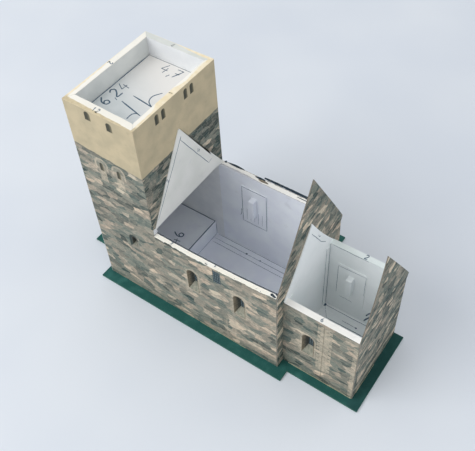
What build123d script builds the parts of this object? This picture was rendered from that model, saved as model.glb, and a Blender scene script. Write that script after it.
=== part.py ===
"""A card model of a small stone church, standing on its green base card with its roofs still off.

The tower is at the west end, then the nave, then the lower and narrower chancel. Long walls and tower
walls are grey-board cores with a printed paper sheet glued outside and a paper tab folded in over the top.
The gables are single thin cards. Lengths are millimetres, X runs east, Y north and Z up.
Plan sizes are written from the tower's south-west outer corner, and moved to the middle of the base card
by the place() function when a piece is written.
"""
from build123d import *
import os

# Card stock
board = 3.0
sheet = 0.3
gable_card = 0.5
base_card = 1.0
wall = board + sheet

# Tower and nave
width = 60.5
tower_length = 42.5
tower_height = 133.0
nave_end = 117.5
nave_eave = 64.0
nave_apex = 118.5
west_gable_apex = 112.4
west_gable_inset = 1.5

# The nave's long walls are uneven: the south one drops towards the tower and sags, the north one is higher
nave_south_drop = 3.3
nave_south_sag = 1.6
nave_north_rise = 1.0

# Chancel, set back from the nave's long sides
chancel_south_setback = 5.6
chancel_north_setback = 7.7
chancel_length = 42.1
chancel_eave = 55.0
chancel_east_apex = 93.4
chancel_west_apex = 90.3
chancel_west_sag = 1.2
eave_ear = 1.8
eave_ear_drop = 3.4

# Base card margins and its two tongues, left for a west porch and a north annexe
margin_west = 2.8
margin_south = 6.0
margin_north = 0.5
margin_east = 5.6
margin_chancel = 4.8
porch_reach = 24.6
porch_from = 12.8
annexe_reach = 36.9
annexe_width = 28.0
annexe_setback = 13.5

# Tower top and foot
deck_depth = 10.8
deck_flange = 5.0
foot_box_length = 33.2
foot_box_height = 12.2

# Glue tabs on floors and in corners
tab_width = 4.2
top_tab_gap = 1.4
south_tab_reach = 2.5
end_notch = 1.8

# The tower's south rim tab is wider than its wall, and was not cut parallel to it
rim_south_west_reach = 5.6
rim_south_east_reach = 4.3

# Window niches, as clear outer sizes. Offsets run from the tower, the nave's end or the tower's middle
niche_width = 7.2
niche_height = 17.4
niche_sill = 30.3
niche_splay = 1.9
niche_sill_rise = 3.8
niche_west_offset = 22.6
niche_east_offset = 22.9
north_niche_offset = 23.1
north_niche_lift = 3.4
chancel_niche_offset = 14.7
chancel_niche_height = 17.4
chancel_niche_sill = 19.8
slit_offset = 5.35
slit_sill = 42.4
slit_width = 3.6
slit_height = 7.2
slit_splay = 0.7
slit_sill_rise = 1.6

# Backing cards glued behind the niches, with the small folded box that each carries
backing_card = 0.4
backing_width = 17.0
backing_above = 5.0
backing_below = 7.0
box_width = 3.4
box_depth = 3.6
box_margin = 0.8
box_top_drop = 1.0

# Torn pieces of roof paper left along the north wall's top
scrap_reach = 1.3
scrap_width = 2.2
scrap_length = 44.6
scrap_patch = 9.2
lens_offset = 5.1
lens_length = 10.8

chancel_end = nave_end + chancel_length
chancel_south = chancel_south_setback
chancel_north = width - chancel_north_setback
inner_south = wall
inner_north = width - wall
chancel_inner_south = chancel_south + wall
chancel_inner_north = chancel_north - wall
ground = base_card
floor_top = ground + sheet
tower_top = ground + tower_height
eave = ground + nave_eave
south_eave_west = eave - nave_south_drop
north_eave = eave + nave_north_rise
low_eave = ground + chancel_eave
ridge_y = width / 2
chancel_ridge_y = (chancel_south + chancel_north) / 2
east_card_x = nave_end - gable_card
chancel_west_face = nave_end + gable_card
chancel_card_x = chancel_end - gable_card
tower_east_face = tower_length - sheet
tower_inner_east = tower_length - wall
deck_top = tower_top - deck_depth
foot_box_east = wall + foot_box_length
annexe_east = nave_end - annexe_setback
annexe_west = annexe_east - annexe_width
slit_x = tower_length / 2 + slit_offset
chancel_niche_x = nave_end + chancel_niche_offset

plan_west = -porch_reach
plan_east = chancel_end + margin_east
plan_south = -margin_south
plan_north = width + annexe_reach
middle_x = (plan_west + plan_east) / 2
middle_y = (plan_south + plan_north) / 2


def block(x_range, y_range, z_range):
    """An upright slab between three pairs of coordinates."""
    size = [high - low for low, high in (x_range, y_range, z_range)]
    corner = (x_range[0], y_range[0], z_range[0])
    return Pos(*corner) * Box(*size, align=(Align.MIN, Align.MIN, Align.MIN))


def card_facing_south(outline, y, thickness):
    """A flat card in the XZ plane, from y northwards. The outline is (x, z) points."""
    face = make_face(Polyline([(x, y, z) for x, z in outline], close=True))
    return extrude(face, amount=thickness, dir=(0, 1, 0))


def card_facing_west(outline, x, thickness):
    """A flat card in the YZ plane, from x eastwards. The outline is (y, z) points."""
    face = make_face(Polyline([(x, y, z) for y, z in outline], close=True))
    return extrude(face, amount=thickness, dir=(1, 0, 0))


def card_lying(outline, z, thickness):
    """A flat card in the XY plane, from z upwards. The outline is (x, y) points."""
    face = make_face(Polyline([(x, y, z) for x, y in outline], close=True))
    return extrude(face, amount=thickness, dir=(0, 0, 1))


class Niche:
    """A round-headed window with splayed sides and a sloping sill, narrowing to its pane."""

    def __init__(self, x, sill, height, outer_y, inward, size=niche_width,
                 splay=niche_splay, rise=niche_sill_rise):
        self.x = x
        self.sill = sill
        self.height = height
        self.outer_y = outer_y
        self.inward = inward
        self.size = size
        self.splay = splay
        self.rise = rise
        self.inner_y = outer_y + inward * wall
        self.spring = sill + height - size / 2

    def hollow(self, shrink=0.0):
        """The splayed hollow through the wall, made smaller all round by shrink."""
        half = self.size / 2 - shrink
        pane_half = half - self.splay
        foot = self.sill + shrink
        plan = [
            (self.x - half, self.outer_y), (self.x + half, self.outer_y),
            (self.x + pane_half, self.inner_y), (self.x - pane_half, self.inner_y),
        ]
        jambs = card_lying(plan, foot, self.spring - foot)
        cone = Cone(half, pane_half, wall, align=(Align.CENTER, Align.CENTER, Align.MIN))
        head = Pos(self.x, self.outer_y, self.spring) * Rot(-90 * self.inward, 0, 0) * cone
        slope = [(self.outer_y, foot), (self.inner_y, foot), (self.inner_y, foot + self.rise)]
        return jambs + head - card_facing_west(slope, self.x - half, 2 * half)

    def lining(self):
        """The printed paper that lines the splay."""
        return self.hollow() - self.hollow(sheet)

    def backing(self):
        """The card glued behind, and the small folded box on its room side."""
        half, half_box = backing_width / 2, box_width / 2
        card_y = self.inner_y + self.inward * backing_card
        box_y = card_y + self.inward * box_depth
        card = block((self.x - half, self.x + half), sorted((self.inner_y, card_y)),
                     (self.sill - backing_below, self.sill + self.height + backing_above))
        box = block((self.x - half_box, self.x + half_box), sorted((card_y, box_y)),
                    (self.sill + self.rise - box_margin, self.sill + self.height - box_top_drop))
        return card + box


def south_eave(y, below=0.0):
    """The sagging top edge of the nave's south wall, from its east end down to the tower."""
    middle_z = (eave + south_eave_west) / 2 - nave_south_sag
    return ThreePointArc(
        (east_card_x, y, eave - below),
        ((east_card_x + tower_length) / 2, y, middle_z - below),
        (tower_length, y, south_eave_west - below),
    )


def card_under_south_eave(west_points, y, thickness):
    """An upright card below that edge. The west points, (x, z), close its outline down to the ground."""
    edge = south_eave(y, sheet)
    foot = (east_card_x, y, ground)
    closing = Polyline([edge @ 1] + [(x, y, z) for x, z in west_points] + [foot, edge @ 0])
    return extrude(make_face([edge] + closing.edges()), amount=thickness, dir=(0, 1, 0))


nave_south_niches = [
    Niche(tower_length + niche_west_offset, ground + niche_sill, niche_height, 0, 1),
    Niche(nave_end - niche_east_offset, ground + niche_sill, niche_height, 0, 1),
]
nave_north_niche = Niche(tower_length + north_niche_offset, ground + niche_sill + north_niche_lift,
                         niche_height, width, -1)
chancel_south_niche = Niche(chancel_niche_x, ground + chancel_niche_sill, chancel_niche_height,
                            chancel_south, 1)
chancel_north_niche = Niche(chancel_niche_x, ground + chancel_niche_sill, chancel_niche_height,
                            chancel_north, -1)
tower_slit = Niche(slit_x, ground + slit_sill, slit_height, 0, 1,
                   slit_width, slit_splay, slit_sill_rise)


def cut_niches(solid, niches):
    """Take each niche's hollow out of a wall."""
    for niche in niches:
        solid = solid - niche.hollow()
    return solid


def base_plate():
    """The green card that the whole model is glued to."""
    nave_edge = width + margin_north
    chancel_edge = chancel_north + margin_north
    outline = [
        (-margin_west, -margin_south),
        (nave_end + margin_east, -margin_south),
        (nave_end + margin_east, chancel_south - margin_chancel),
        (plan_east, chancel_south - margin_chancel),
        (plan_east, chancel_edge),
        (nave_end + margin_north, chancel_edge),
        (nave_end + margin_north, nave_edge),
        (annexe_east, nave_edge),
        (annexe_east, plan_north),
        (annexe_west, plan_north),
        (annexe_west, nave_edge),
        (-margin_west, nave_edge),
        (-margin_west, width - porch_from),
        (plan_west, width - porch_from),
        (plan_west, porch_from),
        (-margin_west, porch_from),
    ]
    return card_lying(outline, 0, base_card)


def tower_walls():
    """Four board cores. The east one starts above the nave's walls, over the open foot."""
    run = (sheet, tower_east_face)
    inner = (inner_south, inner_north)
    height = (ground, tower_top - sheet)
    return {
        "tower_south_wall": cut_niches(block(run, (sheet, wall), height), [tower_slit]),
        "tower_north_wall": block(run, (inner_north, width - sheet), height),
        "tower_west_wall": block((sheet, wall), inner, height),
        "tower_east_wall": block((tower_inner_east, tower_east_face), inner, (north_eave, height[1])),
    }


def nave_walls():
    """The board cores of the nave's two long walls."""
    run = (tower_east_face, east_card_x)
    south = card_under_south_eave([(run[0], south_eave_west - sheet), (run[0], ground)], sheet, board)
    north = block(run, (inner_north, width - sheet), (ground, north_eave - sheet))
    return {
        "nave_south_wall": cut_niches(south, nave_south_niches),
        "nave_north_wall": cut_niches(north, [nave_north_niche]),
    }


def chancel_walls():
    """The board cores of the chancel's two long walls."""
    run = (chancel_west_face, chancel_card_x)
    height = (ground, low_eave - sheet)
    south = (chancel_south + sheet, chancel_inner_south)
    north = (chancel_inner_north, chancel_north - sheet)
    return {
        "chancel_south_wall": cut_niches(block(run, south, height), [chancel_south_niche]),
        "chancel_north_wall": cut_niches(block(run, north, height), [chancel_north_niche]),
    }


def long_sheets():
    """One printed sheet a side over the tower and nave: the tower's height first, then the eave's."""
    tower_edge = [(tower_length, tower_top - sheet), (0, tower_top - sheet), (0, ground)]
    nave_edge = [(east_card_x, ground), (east_card_x, north_eave - sheet),
                 (tower_length, north_eave - sheet)]
    south = card_under_south_eave(tower_edge, 0, sheet)
    north = card_facing_south(nave_edge + tower_edge, width - sheet, sheet)
    return cut_niches(south, nave_south_niches + [tower_slit]), cut_niches(north, [nave_north_niche])


def printed_sheets():
    """The printed paper on every outer wall that has a board behind it."""
    tower_run = (sheet, width - sheet)
    chancel_run = (nave_end, chancel_card_x)
    chancel_rise = (ground, low_eave - sheet)
    chancel_south_print = block(chancel_run, (chancel_south, chancel_south + sheet), chancel_rise)
    chancel_north_print = block(chancel_run, (chancel_north - sheet, chancel_north), chancel_rise)
    south_print, north_print = long_sheets()
    return {
        "south_printed_sheet": south_print,
        "north_printed_sheet": north_print,
        "tower_west_sheet": block((0, sheet), tower_run, (ground, tower_top - sheet)),
        "tower_east_sheet": block((tower_east_face, tower_length), tower_run,
                                  (north_eave, tower_top - sheet)),
        "chancel_south_sheet": cut_niches(chancel_south_print, [chancel_south_niche]),
        "chancel_north_sheet": cut_niches(chancel_north_print, [chancel_north_niche]),
    }


def gables():
    """The thin gable cards. Two are printed with stone and two are plain white."""
    nave_east = [
        (0, ground), (width, ground), (width, eave - eave_ear_drop),
        (width + eave_ear, eave - sheet), (ridge_y, ground + nave_apex), (0, eave),
    ]
    nave_west = [
        (west_gable_inset, north_eave), (width - west_gable_inset, north_eave),
        (ridge_y, ground + west_gable_apex),
    ]
    chancel_east = [
        (chancel_south, ground), (chancel_north, ground), (chancel_north, low_eave - eave_ear_drop),
        (chancel_north + eave_ear, low_eave - sheet), (chancel_ridge_y, ground + chancel_east_apex),
        (chancel_south, low_eave),
    ]
    return {
        "nave_east_gable": card_facing_west(nave_east, east_card_x, gable_card),
        "nave_west_gable": card_facing_west(nave_west, tower_length, gable_card),
        "chancel_west_gable": chancel_west_gable(),
        "chancel_east_gable": card_facing_west(chancel_east, chancel_card_x, gable_card),
    }


def chancel_west_gable():
    """The white card glued to the nave's east end. Its slopes sag a little between ridge and eave."""
    x = nave_end
    south, north = chancel_south + sheet, chancel_north - sheet
    apex = ground + chancel_west_apex

    def slope(edge_y):
        middle = (x, (edge_y + chancel_ridge_y) / 2, (low_eave + apex) / 2 - chancel_west_sag)
        return ThreePointArc((x, edge_y, low_eave), middle, (x, chancel_ridge_y, apex))

    edges = [
        Line((x, south, ground), (x, north, ground)),
        Line((x, north, ground), (x, north, low_eave)),
        slope(north),
        slope(south),
        Line((x, south, low_eave), (x, south, ground)),
    ]
    return extrude(make_face(edges), amount=gable_card, dir=(1, 0, 0))


def tower_rim():
    """Four paper tabs folded in over the tower's walls and mitred at the corners."""
    outer = [(0, 0), (tower_length, 0), (tower_length, width), (0, width)]
    inner = [(wall, rim_south_west_reach), (tower_inner_east, rim_south_east_reach),
             (tower_inner_east, inner_north), (wall, inner_north)]
    names = ("south", "east", "north", "west")
    tabs = {}
    for index, side in enumerate(names):
        after = (index + 1) % len(names)
        outline = [outer[index], outer[after], inner[after], inner[index]]
        tabs[f"tower_rim_tab_{side}"] = card_lying(outline, tower_top - sheet, sheet)
    return tabs


def wall_top_tabs():
    """The tabs folded in over the nave's and chancel's walls, where the roofs would be glued."""
    nave_run = (tower_length + gable_card, east_card_x)
    chancel_run = (chancel_west_face, chancel_card_x)
    nave_rise = (north_eave - sheet, north_eave)
    chancel_rise = (low_eave - sheet, low_eave)
    return {
        "nave_south_top_tab": south_top_tab(),
        "nave_north_top_tab": block(nave_run, (inner_north, width), nave_rise),
        "chancel_south_top_tab": block(chancel_run, (chancel_south, chancel_inner_south), chancel_rise),
        "chancel_north_top_tab": block(chancel_run, (chancel_inner_north, chancel_north), chancel_rise),
    }


def south_top_tab():
    """The tab along the sagging south eave, its east end cut off at a slant."""
    top, underside = south_eave(0), south_eave(0, sheet)
    ends = [Line(top @ 1, underside @ 1), Line(underside @ 0, top @ 0)]
    strip = extrude(make_face([top, underside] + ends), amount=south_tab_reach, dir=(0, 1, 0))
    slant = [(east_card_x - end_notch, south_tab_reach), (east_card_x, south_tab_reach - end_notch),
             (east_card_x, south_tab_reach)]
    return strip - card_lying(slant, eave - end_notch, 2 * end_notch)


def roof_scraps():
    """Torn pieces of dark roof paper still stuck to the north wall's top tab."""
    outer = width + scrap_reach
    inner = outer - scrap_width
    strip_inner = outer - scrap_width / 2
    strip_west = east_card_x - scrap_length
    patch_west = strip_west - scrap_patch
    long_scrap = card_lying([
        (east_card_x, outer), (patch_west, outer), ((patch_west + strip_west) / 2, inner),
        (strip_west, strip_inner), (east_card_x, strip_inner),
    ], north_eave, sheet)
    lens_west = tower_length + lens_offset
    lens_east = lens_west + lens_length
    lens = make_face([
        Line((lens_west, outer, north_eave), (lens_east, outer, north_eave)),
        ThreePointArc((lens_east, outer, north_eave), ((lens_west + lens_east) / 2, inner, north_eave),
                      (lens_west, outer, north_eave)),
    ])
    return [long_scrap, extrude(lens, amount=sheet, dir=(0, 0, 1))]


def tower_deck():
    """The white card let into the tower's top, a tray turned upside down with its flanges glued."""
    outside = block((wall, tower_inner_east), (inner_south, inner_north),
                    (deck_top - deck_flange, deck_top))
    hollow = block((wall + gable_card, tower_inner_east - gable_card),
                   (inner_south + gable_card, inner_north - gable_card),
                   (deck_top - deck_flange, deck_top - gable_card))
    return outside - hollow


def tower_foot_box():
    """The folded card box that fills the foot of the tower, open underneath."""
    top = ground + foot_box_height
    outside = block((wall, foot_box_east), (inner_south, inner_north), (ground, top))
    hollow = block((wall + gable_card, foot_box_east - gable_card),
                   (inner_south + gable_card, inner_north - gable_card),
                   (ground, top - gable_card))
    return outside - hollow


def floors():
    """White paper floors between the walls."""
    return {
        "nave_floor": block((foot_box_east, east_card_x), (inner_south, inner_north),
                            (ground, floor_top)),
        "chancel_floor": block((chancel_west_face, chancel_card_x),
                               (chancel_inner_south, chancel_inner_north), (ground, floor_top)),
    }


def strip_pair(x_range, south_y, north_y, z_range):
    """Two equal tabs, one along the south wall's foot and one along the north wall's."""
    return [
        block(x_range, (south_y, south_y + tab_width), z_range),
        block(x_range, (north_y - tab_width, north_y), z_range),
    ]


def glue_tabs():
    """Paper tabs turned in on the floors, and upright in the chancel's two west corners."""
    floor_rise = (floor_top, floor_top + sheet)
    upright = (floor_top, low_eave - top_tab_gap)
    corner = (chancel_west_face, chancel_west_face + sheet)
    chancel_run = (chancel_west_face + sheet, chancel_card_x)
    return {
        "nave_floor_tabs": strip_pair((foot_box_east, east_card_x), inner_south, inner_north,
                                      floor_rise),
        "chancel_floor_tabs": strip_pair(chancel_run, chancel_inner_south, chancel_inner_north,
                                         floor_rise),
        "chancel_corner_tabs": strip_pair(corner, chancel_inner_south, chancel_inner_north, upright),
    }


def window_pieces():
    """Linings and backing cards of the niches."""
    return {
        "nave_south_window_linings": [niche.lining() for niche in nave_south_niches],
        "nave_north_window_lining": nave_north_niche.lining(),
        "chancel_south_window_lining": chancel_south_niche.lining(),
        "chancel_north_window_lining": chancel_north_niche.lining(),
        "tower_slit_lining": tower_slit.lining(),
        "nave_south_window_backings": [niche.backing() for niche in nave_south_niches],
        "nave_north_window_backing": nave_north_niche.backing(),
        "chancel_south_window_backing": chancel_south_niche.backing(),
        "chancel_north_window_backing": chancel_north_niche.backing(),
        "tower_slit_backing": slit_backing(),
    }


def slit_backing():
    """The plain card behind the tower's slit."""
    half = slit_width
    return block((slit_x - half, slit_x + half), (wall, wall + backing_card),
                 (ground + slit_sill - half, ground + slit_sill + slit_height + half))


def place(pieces):
    """Move a piece, or several that share a node, to the middle of the base card."""
    solids = pieces if isinstance(pieces, list) else [pieces]
    moved = [Pos(-middle_x, -middle_y, 0) * solid for solid in solids]
    return moved[0] if len(moved) == 1 else Compound(children=moved)


nodes = {"base_plate": base_plate()}
nodes.update(tower_walls())
nodes.update(nave_walls())
nodes.update(chancel_walls())
nodes.update(printed_sheets())
nodes.update(gables())
nodes.update(tower_rim())
nodes.update(wall_top_tabs())
nodes["nave_north_roof_scraps"] = roof_scraps()
nodes["tower_deck"] = tower_deck()
nodes["tower_foot_box"] = tower_foot_box()
nodes.update(floors())
nodes.update(glue_tabs())
nodes.update(window_pieces())

os.makedirs("parts", exist_ok=True)
for name, pieces in nodes.items():
    export_step(place(pieces), f"parts/{name}.step")
print(len(nodes), "nodes")
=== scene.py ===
# %% [markdown]
# A card model of a small stone church. The tower, nave and chancel stand open on a green base card. The
# model is printed paper over grey board, with white card inside, so nearly everything here is about paper:
# how it is printed, how it tears and how it bends. The solid parts come in ready made. This script gives
# them their finish and adds what a solid can't hold.

# %% The ready-made parts
import math
import random
from functools import partialmethod

import bmesh
import bpy
import mathutils
from mathutils import Matrix, Vector


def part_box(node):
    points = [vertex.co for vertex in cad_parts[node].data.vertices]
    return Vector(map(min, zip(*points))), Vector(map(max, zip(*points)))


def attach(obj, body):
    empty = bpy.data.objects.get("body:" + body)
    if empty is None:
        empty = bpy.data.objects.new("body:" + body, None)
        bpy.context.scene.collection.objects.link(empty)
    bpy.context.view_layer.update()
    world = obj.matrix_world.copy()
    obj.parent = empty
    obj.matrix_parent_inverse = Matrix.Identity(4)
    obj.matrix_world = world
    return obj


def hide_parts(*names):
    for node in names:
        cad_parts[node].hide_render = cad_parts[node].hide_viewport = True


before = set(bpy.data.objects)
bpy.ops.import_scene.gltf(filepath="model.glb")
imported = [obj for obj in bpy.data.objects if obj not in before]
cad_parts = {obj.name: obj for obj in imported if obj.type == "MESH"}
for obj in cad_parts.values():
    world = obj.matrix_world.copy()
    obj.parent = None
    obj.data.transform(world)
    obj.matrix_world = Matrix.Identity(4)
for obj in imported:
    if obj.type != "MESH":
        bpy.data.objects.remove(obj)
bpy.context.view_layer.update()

scene = bpy.context.scene
scene.view_settings.view_transform = "Standard"
print(len(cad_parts), "parts")

# %% [markdown]
# Everything below is in millimetres from the tower's south-west corner, as a model maker would measure it,
# with X running east, Y north and Z up. One function turns such a place into scene metres. Another reads a
# part's own extent, so that a piece made here meets its neighbours without being fitted by eye.

# %% The plan
mm = 0.001
tower_corner = Vector((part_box("tower_west_sheet")[0].x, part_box("south_printed_sheet")[0].y, 0))


def spot(x, y, z):
    """A place in the plan, in scene metres."""
    return tower_corner + Vector((x, y, z)) * mm


def span(node):
    """The lowest and highest corner of a part, in plan millimetres."""
    return [(corner - tower_corner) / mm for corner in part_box(node)]


ground = span("base_plate")[1].z
width = span("north_printed_sheet")[1].y
tower_length = span("tower_east_sheet")[1].x
tower_top = span("tower_rim_tab_south")[1].z
eave = span("nave_south_top_tab")[1].z
north_eave = span("nave_north_top_tab")[1].z
south_drop = 3.3
south_sag = 1.6
nave_end = span("nave_east_gable")[1].x
chancel_end = span("chancel_east_gable")[1].x
chancel_south = span("chancel_south_sheet")[0].y
chancel_north = span("chancel_north_sheet")[1].y
low_eave = span("chancel_south_top_tab")[1].z
wall = span("tower_deck")[0].x
paper = span("nave_floor")[1].z - ground


def south_eave(x):
    """The height of the nave's south wall, which drops towards the tower and sags."""
    share = min(1.0, max(0.0, (nave_end - x) / (nave_end - tower_length)))
    return eave - south_drop * share - 4 * south_sag * share * (1 - share)


print("tower", round(tower_length, 1), "by", round(width, 1), "and", round(tower_top, 1), "high")

# %% [markdown]
# The camera stands to the south-east, well above the model, and leans a little to one side, as a camera
# held in the hand does. A constraint could aim it at a target, but three angles hold the lean as well. The
# heading is counted clockwise from north.

# %% The camera
camera_place = Vector((150.1, -204.0, 346.6)) * mm
camera_heading = math.radians(-37.92)
camera_dip = math.radians(50.16)
camera_lean = math.radians(-3.87)

camera_data = bpy.data.cameras.new("camera")
camera_data.lens = 54.56
camera_data.sensor_width = 36.0
camera_data.clip_start = 0.01
camera = bpy.data.objects.new("camera", camera_data)
scene.collection.objects.link(camera)
camera.matrix_world = (Matrix.Translation(camera_place) @ Matrix.Rotation(-camera_heading, 4, "Z")
                       @ Matrix.Rotation(math.pi / 2 - camera_dip, 4, "X")
                       @ Matrix.Rotation(camera_lean, 4, "Z"))
scene.camera = camera
print("camera", round(camera_place.length, 3), "m from the middle of the base")

# %% [markdown]
# Shader maths is easier to read as sums than as boxes and wires. This class wraps one output socket of a
# material. Adding or multiplying two of them adds a Math node, and the node method adds any other type.
# Colours are written as a printer or a paint chart gives them, from 0 to 255, and turned into light here.

# %% Colours, and sums on sockets
def ink(red, green, blue):
    """A colour from 0 to 255 a channel, as linear light."""
    shares = [value / 255 for value in (red, green, blue)]
    return tuple(s / 12.92 if s <= 0.04045 else ((s + 0.055) / 1.055) ** 2.4 for s in shares) + (1.0,)


class Socket:
    """An output socket of a material, for use in Python expressions."""

    def __init__(self, tree, output=None):
        self.tree = tree
        self.output = output

    def node(self, kind, inputs, output=0, **settings):
        """Add a node: its settings are made first, then its inputs get their links, colours or values."""
        node = self.tree.nodes.new("ShaderNode" + kind)
        for key, value in settings.items():
            if key == "stops":
                self.fill_ramp(node.color_ramp.elements, value)
            else:
                setattr(node, key, value)
        for key, value in inputs.items():
            if isinstance(value, Socket):
                self.tree.links.new(value.output, node.inputs[key])
            else:
                node.inputs[key].default_value = ink(*value) if isinstance(value, tuple) else value
        return Socket(self.tree, node.outputs[output] if len(node.outputs) else None)

    @staticmethod
    def fill_ramp(elements, stops):
        """Give a ramp its colours. A new one has two stops already, at 0 and 1."""
        elements[0].color = ink(*stops[0][1])
        elements[1].color = ink(*stops[-1][1])
        for place, colour in stops[1:-1]:
            elements.new(place).color = ink(*colour)

    def other(self, name):
        """Another output of the same node."""
        return Socket(self.tree, self.output.node.outputs[name])

    def maths(self, operation, *others):
        """A Math node on this value and any others."""
        return self.node("Math", dict(enumerate((self,) + others)), operation=operation)

    # Each operator is the maths method with its operation filled in. The r forms serve a number in front.
    __add__ = __radd__ = partialmethod(maths, "ADD")
    __sub__ = partialmethod(maths, "SUBTRACT")
    __mul__ = __rmul__ = partialmethod(maths, "MULTIPLY")
    __truediv__ = partialmethod(maths, "DIVIDE")
    __abs__ = partialmethod(maths, "ABSOLUTE")
    at_least = partialmethod(maths, "MAXIMUM")
    at_most = partialmethod(maths, "MINIMUM")

    def __rsub__(self, other):
        return other + self * -1.0

    def step(self, low, high):
        """0 up to low and 1 from high, smooth between. With low above high it falls instead."""
        ends = {"Value": self, "From Min": low, "From Max": high}
        return self.node("MapRange", ends, interpolation_type="SMOOTHSTEP")

    def within(self, low, high, soft=0.1):
        """1 between low and high and 0 beyond, with soft ends."""
        return self.step(low - soft, low + soft) * self.step(high + soft, high - soft)

    def lines(self, pitch, thickness):
        """1 on thin lines that repeat at every pitch."""
        share = (self / pitch).maths("FRACT")
        return abs(share - 0.5).step(0.5 - thickness / pitch, 0.5 - thickness / pitch / 2)

    def choose(self, low, high):
        """The colour low where this is 0 and high where it is 1."""
        return self.node("Mix", {0: self, 6: low, 7: high}, 2, data_type="RGBA")

    def mottle(self, low, high):
        """Two colours in soft patches, where this is a noise."""
        return self.step(0.3, 0.7).choose(low, high)

    def ramp(self, places, colours):
        """A colour that runs through the given ones, the first at 0 and the last at 1."""
        return self.node("ValToRGB", {0: self}, stops=list(zip(places, colours)))


# %% [markdown]
# A finish could follow each part's own unwrapped coordinates. It starts from the plan coordinates instead,
# so a print lies where it should on any wall, and a grain has the same size on every part.

# %% The start and end of a finish
def new_finish(name):
    """An empty material, and the plan's millimetres as a vector socket."""
    material = bpy.data.materials.new(name)
    material.use_nodes = True
    material.node_tree.nodes.clear()
    place = Socket(material.node_tree).node("TexCoord", {}, "Object")
    scaled = place.node("VectorMath", {0: place, "Scale": 1 / mm}, operation="SCALE")
    return material, place.node("VectorMath", {0: scaled, 1: tower_corner / mm}, operation="SUBTRACT")


def axes(vector):
    """The three numbers of a vector socket."""
    x = vector.node("SeparateXYZ", {0: vector})
    return x, x.other("Y"), x.other("Z")


def joined(x, y, z=0.0):
    """A vector socket from its three numbers."""
    return x.node("CombineXYZ", {"X": x, "Y": y, "Z": z})


def facing(plan):
    """The direction that the surface faces, as three numbers."""
    return axes(plan.node("TexCoord", {}, "Normal"))


def noise(vector, size, detail=3.0):
    """Cloudy grain from 0 to 1, with blots of about the given size in millimetres."""
    return vector.node("TexNoise", {"Vector": vector, "Scale": 1 / size, "Detail": detail})


def finish(material, colour, roughness, grain=None, relief=0.05):
    """End a finish. The grain stands up to the relief, in millimetres."""
    start = Socket(material.node_tree)
    inputs = {"Base Color": colour, "Roughness": roughness, "Specular IOR Level": 0.3}
    if grain is not None:
        inputs["Normal"] = start.node("Bump", {"Distance": relief * mm, "Height": grain})
    shader = start.node("BsdfPrincipled", inputs)
    start.node("OutputMaterial", {"Surface": shader})
    return material


def felted(material, plan, colour, roughness=0.72, size=0.5, spread=0.1, relief=0.03):
    """End a finish as paper, with a fine felt of fibres that also varies its roughness."""
    fibres = noise(plan, size, 4.0)
    return finish(material, colour, fibres * spread + roughness, fibres, relief)


# %% [markdown]
# White card is never quite white. It has a faint cloudiness and grey smudges, and a fine felt of fibres
# that shows only as a soft bump. An image could hold them, but three noises of very different sizes do it
# without ever repeating.

# %% White card and paper
# The cards' faint blue tint is painted light, the cool cast of the daylight on them.
card_tones = ((236, 239, 247), (244, 248, 252))
tower_tones = ((230, 232, 234), (243, 244, 244))
shaded_tones = ((212, 215, 213), (226, 228, 225))
tab_tones = ((250, 248, 241), (255, 253, 247))
# Painted shade: the deck's greyer tones, where the west wall shades it.
deck_shaded_tones = ((209, 215, 215), (221, 225, 225))
gable_tones = ((234, 234, 227), (242, 241, 235))
chancel_tones = ((246, 250, 249), (252, 255, 254))
torn_tones = ((255, 251, 238), (255, 255, 250))
rim_tones = ((250, 246, 234), (255, 251, 241))
rim_shade_tones = ((218, 221, 215), (230, 232, 226))
cool_tab_tones = ((240, 249, 246), (245, 252, 250))
smudge_grey = (204, 206, 211)
# Painted light: the deck's paler tone, out of the west wall's shade.
deck_lit_tone = (238, 235, 230)


def white_colour(plan, tones=card_tones):
    """The colour of white card with light smudges, between a shaded and a clean tone."""
    clean = noise(plan, 14).step(0.35, 0.7).choose(*tones)
    smudge = noise(plan, 5, 5.0).step(0.60, 0.85)
    return (smudge * 0.35).choose(clean, smudge_grey)


def white_card(name, tones=card_tones):
    material, plan = new_finish(name)
    return felted(material, plan, white_colour(plan, tones))


def deck_card():
    """The card in the tower's top, with painted shade greying it to the south-west, below the west wall."""
    material, plan = new_finish("deck_card")
    x, y = axes(plan)[:2]
    colour = (x * 0.6 + y).step(24, 62).choose(white_colour(plan, deck_shaded_tones), deck_lit_tone)
    return felted(material, plan, colour)


white = white_card("white_card")
print(len(white.node_tree.nodes), "nodes in the white card")

# %% [markdown]
# The walls are printed with rubble: flat stones of all sizes in wavering courses. A brick texture's joints
# would be too straight, so stretched Voronoi cells give the stones. Each cell says where its middle lies,
# and a slow noise read there gives neighbours a like tone, so that from afar the wall gathers into dark and
# pale patches. Finer noises fray the stones' edges and speckle their faces.

# %% The rubble print
stone_length = 5.4
stone_height = 2.3
tone_steps = (0.00, 0.26, 0.50, 0.66, 0.78, 1.00)
grey_stones = [(56, 74, 71), (94, 107, 100), (132, 136, 124), (158, 152, 137), (192, 180, 160),
               (216, 204, 180)]
brown_stones = [(66, 74, 68), (106, 107, 98), (144, 138, 124), (168, 154, 137), (202, 182, 159),
                (224, 205, 180)]
joint_ink = (184, 174, 155)


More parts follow.
